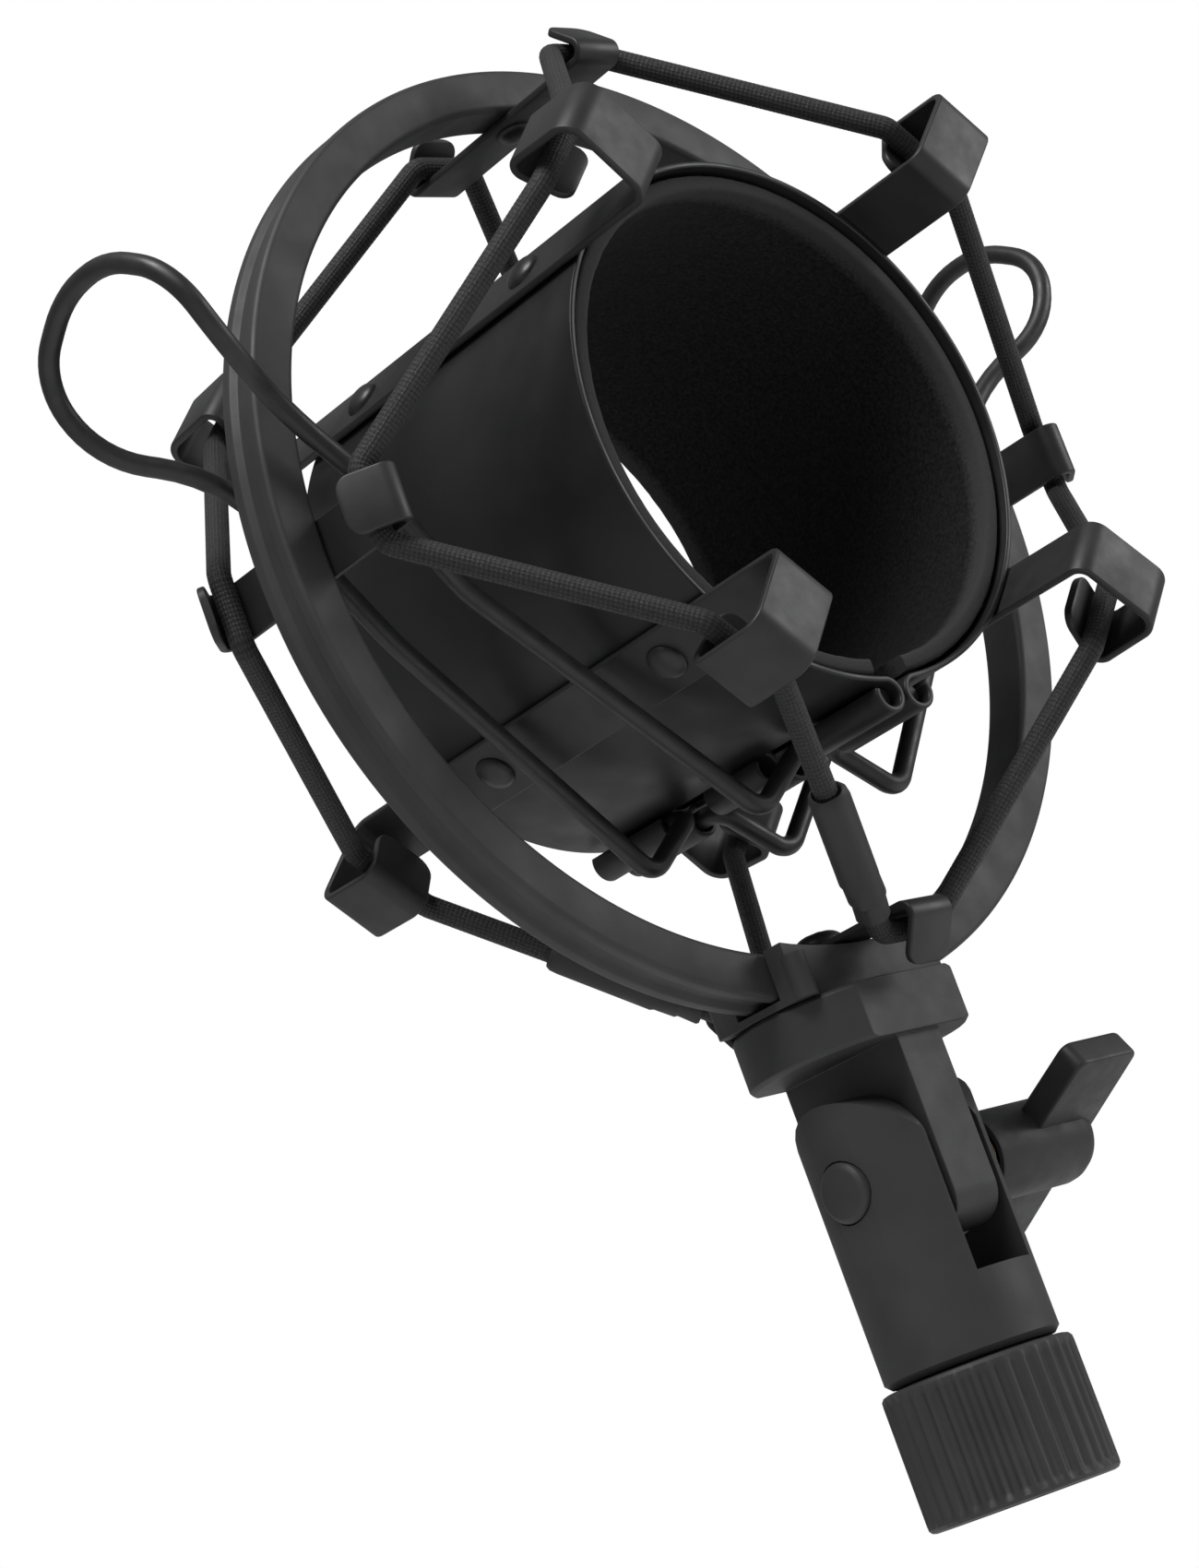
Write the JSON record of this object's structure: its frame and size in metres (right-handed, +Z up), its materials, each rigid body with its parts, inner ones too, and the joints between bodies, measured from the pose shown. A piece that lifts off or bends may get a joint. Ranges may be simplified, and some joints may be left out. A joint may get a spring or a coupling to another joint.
{
  "type": "microphone shock mount",
  "caption": "Spider shock mount for a studio microphone: a spring-clip cradle hung on elastic cords inside a ring, on a tilting stem with a knurled thread collar and a wing knob.",
  "frame": {"origin": "centre of the knurled collar's bottom face, on the stem's axis", "axes": "+Z up along the stem towards the ring, +X to the right with the wing knob, +Y to the back; the cradle's axis runs along Y and its front faces -Y"},
  "size_m": [0.1226, 0.0674, 0.1511],
  "materials": {
    "paint": "matte charcoal powder coat",
    "dark_steel": "satin black oxide",
    "wire": "satin black enamel on steel wire",
    "knob_plastic": "fine-textured black nylon",
    "crimp": "black heat-shrink",
    "lining": "black felt on foam",
    "cord": "woven black jacket over rubber",
    "brass": "turned brass",
    "nylon": "natural nylon"
  },
  "bodies": {
    "collar": {"knurled_collar": "paint"},
    "stem": {"stem_yoke": "paint", "retaining_ring": "dark_steel", "pivot_bolt": "dark_steel", "friction_washer_left": "nylon", "friction_washer_right": "nylon"},
    "knob": {"wing_knob": "knob_plastic", "knob_insert": "brass"},
    "head": {"tilt_foot": "paint", "ring_saddle": "paint", "foot_screw": "dark_steel", "outer_ring": "paint", "ring_hook_top": "paint", "ring_hook_right": "paint", "ring_hook_bottom": "paint", "ring_hook_left": "paint", "ring_rivet_top": "dark_steel", "ring_rivet_right": "dark_steel", "ring_rivet_left": "dark_steel", "front_cord": "cord", "rear_cord": "cord", "front_cord_sleeve": "crimp", "rear_cord_sleeve": "crimp"},
    "cradle": {"sleeve_spine": "paint"},
    "half_left": {"sleeve_left": "paint", "lining_left": "lining", "cradle_hook_upper_left": "paint", "cradle_rivet_upper_left_front": "dark_steel", "cradle_rivet_upper_left_rear": "dark_steel", "cradle_hook_lower_left": "paint", "cradle_rivet_lower_left_front": "dark_steel", "cradle_rivet_lower_left_rear": "dark_steel"},
    "half_right": {"sleeve_right": "paint", "lining_right": "lining", "cradle_hook_upper_right": "paint", "cradle_rivet_upper_right_front": "dark_steel", "cradle_rivet_upper_right_rear": "dark_steel", "cradle_hook_lower_right": "paint", "cradle_rivet_lower_right_front": "dark_steel", "cradle_rivet_lower_right_rear": "dark_steel"},
    "lever_left": {"handle_left": "wire"},
    "lever_right": {"handle_right": "wire"}
  },
  "joints": [
    {"name": "stem_swivel", "type": "hinge", "parent": "collar", "child": "stem", "pos_m": [0, 0, 0.0138], "axis": [0, 0, 1], "continuous": true},
    {"name": "knob_turn", "type": "hinge", "parent": "stem", "child": "knob", "pos_m": [0.0167, 0, 0.0323], "axis": [1, 0, 0], "continuous": true},
    {"name": "head_tilt", "type": "hinge", "parent": "stem", "child": "head", "pos_m": [0, 0, 0.0323], "axis": [1, 0, 0], "range_deg": [-90, 90]},
    {"name": "cradle_bounce", "type": "slide", "parent": "head", "child": "cradle", "axis": [0, 0, 1], "range_m": [-0.003, 0.003], "stiffness_N_per_m": 900, "springref_m": 0.0009, "deforming": ["front_cord", "rear_cord"]},
    {"name": "left_half_open", "type": "hinge", "parent": "cradle", "child": "half_left", "pos_m": [-0.0047, 0, 0.1292], "axis": [0, 1, 0], "range_deg": [0, 2], "stiffness_Nm_per_rad": 4, "springref_deg": -1.72, "deforming": ["front_cord", "rear_cord"]},
    {"name": "right_half_open", "type": "hinge", "parent": "cradle", "child": "half_right", "pos_m": [0.0047, 0, 0.1292], "axis": [0, -1, 0], "range_deg": [0, 2], "deforming": ["front_cord", "rear_cord"]},
    {"name": "left_handle_squeeze", "type": "hinge", "parent": "half_left", "child": "lever_left", "pos_m": [-0.00202, 0, 0.07362], "axis": [0, 1, 0], "range_deg": [0, 1.7]},
    {"name": "right_handle_squeeze", "type": "hinge", "parent": "half_right", "child": "lever_right", "pos_m": [0.00202, 0, 0.07362], "axis": [0, -1, 0], "range_deg": [0, 1.7]}
  ],
  "couplings": [
    {"joint": "right_half_open", "follows": "left_half_open", "ratio": 1},
    {"joint": "left_handle_squeeze", "follows": "left_half_open", "ratio": 0.85},
    {"joint": "right_handle_squeeze", "follows": "left_half_open", "ratio": 0.85}
  ]
}
